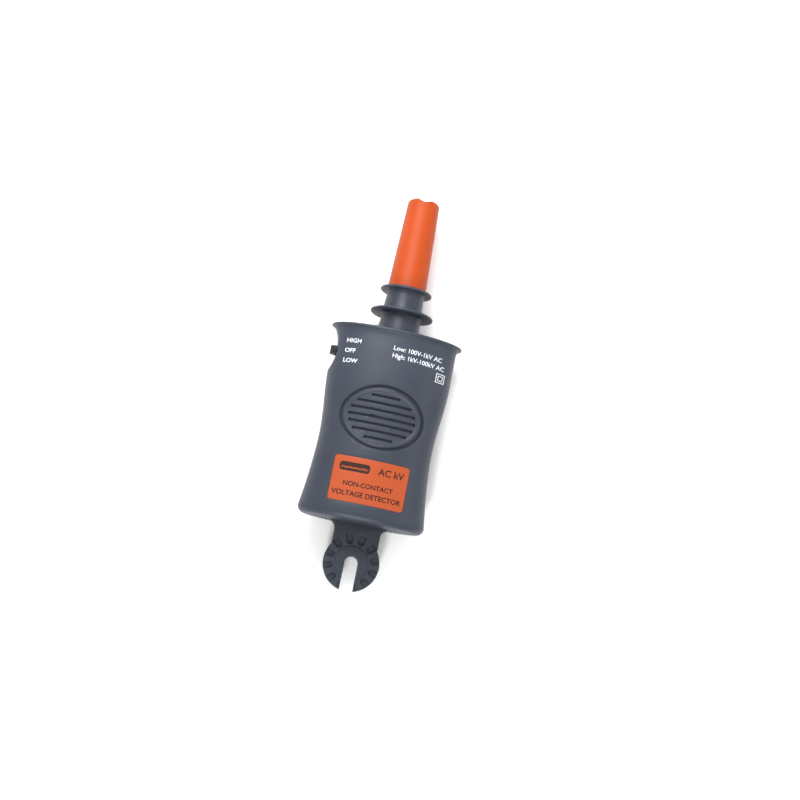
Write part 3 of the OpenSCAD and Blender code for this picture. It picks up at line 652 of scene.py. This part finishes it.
# ---------------------------------------------------------------- Slide knob
# A small black knob on the left side, with three grip grooves across its top. Its square stem
# goes through the slot, and a thin shutter behind the wall keeps the slot closed.
knob_half_l, knob_half_w, knob_rise = 3.2 * MM, 3.5 * MM, 4.8 * MM
knob_foot = scoop_face - slack
knob = block((knob_foot - knob_rise, switch_y - knob_half_l, seam - knob_half_w),
             (knob_foot, switch_y + knob_half_l, seam + knob_half_w))
bpy.ops.object.mode_set(mode="EDIT")
bpy.ops.mesh.select_all(action="DESELECT")
bpy.ops.object.mode_set(mode="OBJECT")
for face in knob.data.polygons:
    face.select = face.normal.x < -0.9
bpy.ops.object.mode_set(mode="EDIT")
bpy.ops.transform.resize(value=(1, 0.86, 0.9), center_override=(0, switch_y, seam))
bpy.ops.object.mode_set(mode="OBJECT")
groove_pitch, groove_half, groove_depth = 1.55 * MM, 0.35 * MM, 0.5 * MM
for groove in (-1, 0, 1):
    middle = switch_y + groove * groove_pitch
    carve(knob, block((knob_foot - knob_rise - 1 * MM, middle - groove_half, seam - 6 * MM),
                      (knob_foot - knob_rise + groove_depth, middle + groove_half, seam + 6 * MM)))
soften(knob, 0.25 * MM)
stem_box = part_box("switch_knob")
stem_half, shutter_half, shutter_thick = 1.6 * MM, 3.4 * MM, 1 * MM
stem = block((knob_foot - 0.2 * MM, switch_y - stem_half, seam - stem_half),
             (stem_box[1].x, switch_y + stem_half, seam + stem_half))
shutter_face = scoop_face + wall + slack
shutter = block((shutter_face, stem_box[0].y, seam - shutter_half),
                (shutter_face + shutter_thick, stem_box[1].y, seam + shutter_half))
soften(carve(stem, shutter, "UNION"), 0.15 * MM, segments=2)
knob_plastic = plastic("knob_plastic", (0.004, 0.004, 0.005), (0.006, 0.006, 0.007), 0.3, 0.36, 0.3)
fit(gather([knob, stem]), "slide_knob", knob_plastic, "knob_plastic", "switch", "switch_knob")

# ---------------------------------------------------------------- Guard neck
# A turned-looking neck, moulded in the body's plastic. Its flange is caught between the shells,
# and two thin guard discs keep the hand and wet tracking away from the tip.
neck_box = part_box("neck_guard")
tip_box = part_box("sensor_tip")
disc_half = 1 * MM
neck_start = neck_box[0].y
rim_at, tip_at, top_at = rim - neck_start, tip_box[0].y - neck_start, neck_box[1].y - neck_start
neck_low_r, neck_high_r, flange_r = 14.6 * MM, 13.2 * MM, 18.5 * MM
spigot_r, bore_r = 11.38 * MM, 9.28 * MM
wide_disc_r, small_disc_r = 22.5 * MM, 18.5 * MM


def disc_rings(height, radius, neck_r):
    """Rings of a thin disc with a round rim and small fillets where it leaves the neck."""
    fillet = 1.2 * MM
    below = [(neck_r + fillet * (1 - math.cos(a)), height - disc_half - fillet + fillet * math.sin(a))
             for a in quarter(4)]
    rim_arc = [(radius - disc_half + disc_half * math.sin(a), height - disc_half * math.cos(a))
               for a in half_turn(8)]
    above = [(neck_r + fillet * (1 - math.cos(a)), height + disc_half + fillet - fillet * math.sin(a))
             for a in reversed(quarter(4))]
    return below + rim_arc + above


wide_at, small_at = rim_at + 15.7 * MM, tip_at - play - disc_half
flange_low, flange_high = rim_at - 6.4 * MM, rim_at - 2.6 * MM
board_seat, lead_bore_r = tip_at + 0.8 * MM, bore_r - 1.3 * MM
neck_rings = [(neck_low_r, 0), (neck_low_r, flange_low), (flange_r, flange_low), (flange_r, flange_high),
              (neck_low_r, flange_high), (neck_low_r, rim_at + 6 * MM)]
neck_rings += disc_rings(wide_at, wide_disc_r, neck_low_r - 0.55 * MM)
neck_rings += disc_rings(small_at, small_disc_r, neck_high_r)[:-5]
neck_rings += [(spigot_r, small_at + disc_half), (spigot_r, top_at - 0.4 * MM), (spigot_r - 0.4 * MM, top_at),
               (bore_r + 0.3 * MM, top_at), (bore_r, top_at - 0.3 * MM), (bore_r, board_seat),
               (lead_bore_r, board_seat), (lead_bore_r, 2 * MM)]
neck = turned("neck", neck_rings, neck_start, sides=160)
pick(neck)
bpy.ops.object.shade_smooth_by_angle(angle=math.radians(35))
fit(neck, "guard_neck", body_plastic, "body_plastic", "housing", "neck_guard")

# ---------------------------------------------------------------- Sensing tip
# A hollow tapered cap in bright orange plastic, slid over the neck's spigot. Its closed end is
# rounded off, and a saddle notch runs across it from front to back.
tip_length, tip_wall = tip_box[1].y - tip_box[0].y, 2 * MM
tip_r, tip_end_r, notch_depth, notch_half = 13.8 * MM, 11.5 * MM, 3.2 * MM, 5.5 * MM
crown = 3.6 * MM
cavity = tip_length - notch_depth - tip_wall
inner_r, inner_end_r = tip_r - tip_wall, tip_end_r - tip_wall
rounding, taper_steps = 0.3 * MM, 12
tip_rings = [(inner_end_r - 1 * MM, cavity), (inner_end_r, cavity - 1 * MM), (inner_r, rounding),
             (inner_r + rounding, 0), (tip_r - rounding, 0), (tip_r, rounding)]
for step in range(1, taper_steps + 1):
    tip_rings.append((tip_r + (tip_end_r - tip_r) * step / taper_steps,
                      (tip_length - crown) * step / taper_steps))
tip_rings += [(tip_end_r / 2 * (1 + math.cos(a)), tip_length - crown + crown * math.sin(a))
              for a in quarter(10)[1:]]
tip_rings += [(tip_end_r / 4, tip_length)]
tip = turned("tip", tip_rings, tip_box[0].y, sides=160)
notch_r = (notch_half ** 2 + notch_depth ** 2) / (2 * notch_depth)
notch_lip = 1.3 * MM
carve(tip, post(0, tip_box[1].y - notch_depth + notch_r, 0, reach, notch_r, 128))
pick(tip)
bpy.ops.object.mode_set(mode="EDIT")
bpy.ops.mesh.select_mode(type="EDGE")
bpy.ops.mesh.select_all(action="SELECT")
bpy.ops.mesh.remove_doubles(threshold=0.00002)
bpy.ops.mesh.select_all(action="DESELECT")
bpy.ops.mesh.edges_select_sharp(sharpness=math.radians(20))
bpy.ops.object.mode_set(mode="OBJECT")
for edge in tip.data.edges:
    if min(tip.data.vertices[index].co.y for index in edge.vertices) < tip_box[1].y - 1.5 * notch_depth:
        edge.select = False
bpy.ops.object.mode_set(mode="EDIT")
bpy.ops.mesh.bevel(offset=notch_lip, segments=5, clamp_overlap=True)
bpy.ops.mesh.select_mode(type="FACE")
bpy.ops.object.mode_set(mode="OBJECT")
bpy.ops.object.shade_smooth_by_angle(angle=math.radians(40))
tip_plastic = plastic("tip_plastic", (0.37, 0.048, 0.003), (0.345, 0.043, 0.002), 0.25, 0.45, 0.25)
fit(tip, "sensing_tip", tip_plastic, "tip_plastic", "housing", "sensor_tip")

# ---------------------------------------------------------------- Front shell
# The front half of the body, moulded in the same grained plastic, with an oval speaker recess,
# a shallow seat for the label and bosses for the screws inside.
grille_y = (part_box("speaker_grille")[0].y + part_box("speaker_grille")[1].y) / 2
label_y = foot + 27 * MM
grille_w, grille_h, groove_w = 59 * MM, 45.8 * MM, 1.9 * MM
label_w, label_h, label_round = 52.5 * MM, 31.5 * MM, 2 * MM


def oval_post(width, height, low):
    """An oval post along Z round the speaker's centre."""
    bpy.ops.object.select_all(action="DESELECT")
    bpy.ops.mesh.primitive_cylinder_add(vertices=144, radius=0.5, depth=reach, scale=(width, height, 1),
                                        location=(0, grille_y, low + reach / 2))
    bpy.ops.object.transform_apply()
    return bpy.context.object


def label_post(grow=0.0):
    """A post along Z with the label's outline, its corners rounded."""
    half_w, half_h = label_w / 2 + grow, label_h / 2 + grow
    piece = block((-half_w, label_y - half_h, seam), (half_w, label_y + half_h, seam + reach))
    bpy.ops.object.mode_set(mode="EDIT")
    bpy.ops.mesh.select_all(action="DESELECT")
    bpy.ops.object.mode_set(mode="OBJECT")
    for edge in piece.data.edges:
        ends = [piece.data.vertices[i].co for i in edge.vertices]
        edge.select = abs(ends[0].z - ends[1].z) > reach / 2
    bpy.ops.object.mode_set(mode="EDIT")
    bpy.ops.mesh.select_mode(type="EDGE")
    bpy.ops.mesh.bevel(offset=label_round + grow, segments=6)
    bpy.ops.mesh.select_mode(type="VERT")
    bpy.ops.object.mode_set(mode="OBJECT")
    return piece


front = half_shell(front=True)
throat_w, throat_h = grille_w - 2 * groove_w - 4.5 * MM, grille_h - 2 * groove_w - 3.8 * MM
pad = carve(oval_post(grille_w + 4 * MM, grille_h + 4 * MM, seam), oval_body(3.6 * MM, sides=96))
carve(front, carve(pad, oval_body(wall / 2), "INTERSECT"), "UNION")
pilot_radius = 3.6 * MM
bosses = gather([post(side * screw_column, row, seam, seam + 40 * MM, pilot_radius)
                 for side in (-1, 1) for row in screw_rows])
carve(front, carve(bosses, oval_body(wall / 2, sides=96), "INTERSECT"), "UNION")
carve(front, carve(oval_post(grille_w, grille_h, seam), oval_body(2 * MM)))
carve(front, oval_post(throat_w, throat_h, seam))
carve(front, carve(label_post(0.1 * MM), oval_body(0.4 * MM)))
soften(front, 0.22 * MM, merge=0.00012)
fit(front, "front_shell_moulding", body_plastic, "body_plastic", "housing", "front_shell")

# ---------------------------------------------------------------- Speaker grille
# An oval insert in the same plastic, pressed into the front shell. A raised ring runs round
# its edge, seven rounded slots let the sound out, and a thin dust felt lies behind them.
slot_count, slot_pitch, slot_width = 7, 4.95 * MM, 1.8 * MM
insert_a, insert_b, insert_back = grille_w / 2 - groove_w, grille_h / 2 - groove_w, -2.4
ring_profile = [(0, -1.2), (0.2, -0.7), (0.6, -0.2), (1.1, 0.08), (1.7, 0.18), (2.3, 0.05), (2.8, -0.3),
                (3.2, -0.75), (3.5, -1.0), (4.0, -1.05), (8.6, -1.05), (13.6, -1.05), (18.5, -1.05)]
slots_a, slots_b = insert_a - 3.6 * MM, insert_b - 4.6 * MM


def skin_height(x, y):
    """Height of the body's front surface at a place on it."""
    width = half_width(y - foot)
    return seam + waist_depth / waist_half * math.sqrt(max(0, width * width - x * x))


bpy.ops.object.select_all(action="DESELECT")
bpy.ops.mesh.primitive_circle_add(vertices=160, radius=insert_b, fill_type="NGON",
                                  location=(0, grille_y, insert_back * MM))
insert = bpy.context.object
bpy.ops.object.transform_apply()
bpy.ops.object.mode_set(mode="EDIT")
bpy.ops.mesh.select_all(action="SELECT")
bpy.ops.transform.resize(value=(insert_a / insert_b, 1, 1), center_override=(0, grille_y, 0))
inward, level = 0, insert_back
for new_inward, new_level in ring_profile:
    bpy.ops.mesh.extrude_region_move(TRANSFORM_OT_translate={"value": (0, 0, (new_level - level) * MM)})
    bpy.ops.transform.resize(value=((insert_a - new_inward * MM) / (insert_a - inward * MM),
                                    (insert_b - new_inward * MM) / (insert_b - inward * MM), 1),
                             center_override=(0, grille_y, 0))
    inward, level = new_inward, new_level
bpy.ops.mesh.select_all(action="SELECT")
bpy.ops.mesh.normals_make_consistent(inside=False)
bpy.ops.object.mode_set(mode="OBJECT")
for vertex in insert.data.vertices:
    vertex.co.z += skin_height(vertex.co.x, vertex.co.y)
slots = []
for row in range(slot_count):
    across = grille_y + (row - (slot_count - 1) / 2) * slot_pitch
    half = slots_a * math.sqrt(1 - ((across - grille_y) / slots_b) ** 2) - slot_width / 2
    bar = block((-half, across - slot_width / 2, seam), (half, across + slot_width / 2, seam + reach))
    for end in (-half, half):
        carve(bar, post(end, across, seam - 1 * MM, seam + reach + 1 * MM, slot_width / 2, 24), "UNION")
    slots.append(bar)
carve(insert, gather(slots))
soften(insert, 0.42 * MM, angle=38, segments=4)
fit(insert, "speaker_grille_insert", body_plastic, "body_plastic", "housing", "speaker_grille")
felt_front, felt_back = 2.55 * MM, 2.9 * MM
felt = oval_post(2 * slots_a + 2 * MM, 2 * slots_b + 2 * MM, seam)
carve(felt, oval_body(felt_back, sides=96))
carve(felt, oval_body(felt_front, sides=96), "INTERSECT")
soften(felt, 0.1 * MM, angle=50, segments=2)
fit(felt, "grille_dust_felt", foam, "foam")

# ---------------------------------------------------------------- Front label
# An orange film with round corners, stuck in its shallow seat on the front. Its black print is
# laid on after it, with the other marks.
label_film = plastic("label_film", (0.385, 0.067, 0.017), (0.36, 0.061, 0.015), 0.08, 0.40)
label = carve(label_post(), oval_body(0.35 * MM))
carve(label, oval_body(-0.03 * MM), "INTERSECT")
soften(label, 0.08 * MM, angle=50, segments=2)
fit(label, "front_label_film", label_film, "label_film", "housing", "front_label")

# ---------------------------------------------------------------- Printed marks
# White pad-printed words beside the knob, two lines of ranges and a double-insulation mark on
# the shell, and black words and a bar with a wave on the label. All the wording is generic.
above_front = 2 * seam + 20 * MM
ink_depth, label_lift = 0.03 * MM, 0.07 * MM


def printed(words, size, x, y, align="LEFT", weight=0.0, tilt=0.0):
    """Words as a flat mesh over the front, in the built-in letters."""
    bpy.ops.object.select_all(action="DESELECT")
    bpy.ops.object.text_add(location=(x, y, above_front), rotation=(0, 0, tilt))
    text = bpy.context.object
    text.data.body = words
    text.data.size = size
    text.data.align_x = align
    text.data.align_y = "CENTER"
    text.data.offset = weight
    text.data.resolution_u = 3
    bpy.ops.object.convert(target="MESH")
    bpy.ops.object.transform_apply()
    return bpy.context.object


def flat_plate(x, y, across, along, hole=0.0):
    """A flat plate over the front, fine enough to follow the curve; a hole makes it a square frame."""
    bpy.ops.object.select_all(action="DESELECT")
    bpy.ops.mesh.primitive_plane_add(size=1, location=(x, y, above_front))
    bpy.ops.object.mode_set(mode="EDIT")
    bpy.ops.mesh.select_all(action="SELECT")
    bpy.ops.transform.resize(value=(across, along, 1), center_override=(x, y, 0))
    if hole:
        bpy.ops.mesh.inset(thickness=(across - hole) / 2)
        bpy.ops.mesh.delete(type="FACE")
    else:
        bpy.ops.mesh.bevel(offset=along / 3, segments=5, affect="VERTICES")
    bpy.ops.mesh.select_all(action="SELECT")
    bpy.ops.mesh.quads_convert_to_tris()
    bpy.ops.mesh.subdivide(number_cuts=3)
    bpy.ops.object.mode_set(mode="OBJECT")
    bpy.ops.object.transform_apply()
    return bpy.context.object


def lay_on(ink, target, name, material, lift=ink_depth):
    """Drops flat print straight down on to a surface and gives it the thickness of ink."""
    pick(ink)
    bpy.ops.object.mode_set(mode="EDIT")
    bpy.ops.mesh.select_all(action="SELECT")
    bpy.ops.mesh.remove_doubles(threshold=0.000002)
    bpy.ops.object.mode_set(mode="OBJECT")
    drop = ink.modifiers.new("drop", "SHRINKWRAP")
    drop.target = target
    drop.wrap_method = "PROJECT"
    drop.use_project_z = True
    drop.use_negative_direction = True
    drop.use_positive_direction = False
    drop.offset = lift
    bpy.ops.object.modifier_apply(modifier="drop")
    thick = ink.modifiers.new("thick", "SOLIDIFY")
    thick.thickness = ink_depth
    thick.offset = 1
    bpy.ops.object.modifier_apply(modifier="thick")
    fit(ink, name, material, "label_film")


ink_white = plastic("ink_white", (0.62, 0.65, 0.68), (0.55, 0.58, 0.61), 0.05, 0.45)
ink_black = plastic("ink_black", (0.022, 0.006, 0.005), (0.035, 0.008, 0.005), 0.05, 0.45)
row_pitch, knob_letter, range_letter = 7.2 * MM, 4.2 * MM, 4.5 * MM
bold, semibold = 0.12 * MM, 0.1 * MM
marks = [printed(words, knob_letter, -34.7 * MM, switch_y - 1 * MM + row * row_pitch, "LEFT", bold)
         for words, row in (("HIGH", 1), ("OFF", 0), ("LOW", -1))]
for words, height, tilt in (("Low: 100V-1kV AC", 122.8 * MM, -1.3), ("High: 1kV-100kV AC", 117.4 * MM, -1.6)):
    marks.append(printed(words, range_letter, -1.9 * MM, foot + height, "LEFT", semibold, math.radians(tilt)))
for outer, inner in ((6.6 * MM, 5.5 * MM), (3.7 * MM, 2.7 * MM)):
    marks.append(flat_plate(34.6 * MM, foot + 109.6 * MM, outer, outer, inner))
lay_on(gather(marks), front, "front_print", ink_white)

words = [flat_plate(-11.6 * MM, label_y + 8.6 * MM, 21 * MM, 6.2 * MM),
         printed("AC kV", 6.6 * MM, 13.9 * MM, label_y + 8.4 * MM, "CENTER", semibold),
         printed("NON-CONTACT", 4.6 * MM, -0.4 * MM, label_y - 3.2 * MM, "CENTER", semibold),
         printed("VOLTAGE DETECTOR", 4.9 * MM, -0.2 * MM, label_y - 10.0 * MM, "CENTER", semibold)]
lay_on(gather(words), label, "label_print", ink_black)
wave = printed("~~~~", 8 * MM, -11.6 * MM, label_y + 8.2 * MM, "CENTER", 0.2 * MM)
lay_on(wave, label, "label_wave", label_film, label_lift)

# ---------------------------------------------------------------- Battery cover
# A sliding cover on the back, moulded in the body's plastic. Two tongues run in the shell's
# rails, and six ribs give the thumb its grip when the cover is pushed off past the lug.
cover_thick = 2.2 * MM
cover_reach = cover_half - slack
cover_top = seam - rail_top
rib_count, first_rib, rib_pitch, rib_width, rib_half = 6, 54, 2.4, 1.1, 12 * MM
cover = carve(oval_body(0), oval_body(cover_thick, sides=96))
panel = block((-cover_reach, foot + wall, -reach), (cover_reach, cover_end, cover_top))
carve(panel, block((-cover_reach, foot - 1 * MM, -reach),
                   (cover_reach, foot + 10 * MM, seam - shelf_drop - slack)), "UNION")
carve(cover, panel, "INTERSECT")
for side in (-1, 1):
    left, right = sorted((side * (bay_half - 0.1 * MM), side * cover_reach))
    wing = block((left, foot + foot_round, -reach), (right, cover_end, cover_top))
    left, right = sorted((side * (cover_reach - 0.5 * MM), side * (cover_reach + rail_depth)))
    tongue = block((left, foot + foot_round, cover_top - rail_thick), (right, cover_end - 2 * MM, cover_top))
    carve(wing, tongue, "UNION")
    carve(cover, carve(wing, oval_body(cover_thick / 2, sides=96), "INTERSECT"), "UNION")
grips = gather([block((-rib_half, foot + at * MM, -reach),
                      (rib_half, foot + (at + rib_width) * MM, seam - shelf_drop))
                for at in [first_rib + rib_pitch * rib for rib in range(rib_count)]])
carve(grips, oval_body(-0.4 * MM), "INTERSECT")
carve(grips, oval_body(cover_thick / 2))
carve(cover, grips, "UNION")
soften(cover, 0.22 * MM, merge=0.00005)
fit(cover, "battery_cover_moulding", body_plastic, "body_plastic", "cover", "battery_cover")

# ---------------------------------------------------------------- Housing screws
# Six zinc-plated pan-head screws close the two shells from the back. Their heads lie at the
# bottom of deep wells in the rear shell, and their points bite in the front shell's bosses.
housing_screw_length = 13.5 * MM
housing_screws = gather([screw(side * screw_column, row, seam - screw_depth, housing_screw_length, 1)
                         for side in (-1, 1) for row in screw_rows])
fit(housing_screws, "housing_screws_zinc", screw_steel, "screw_steel", "housing", "housing_screws")
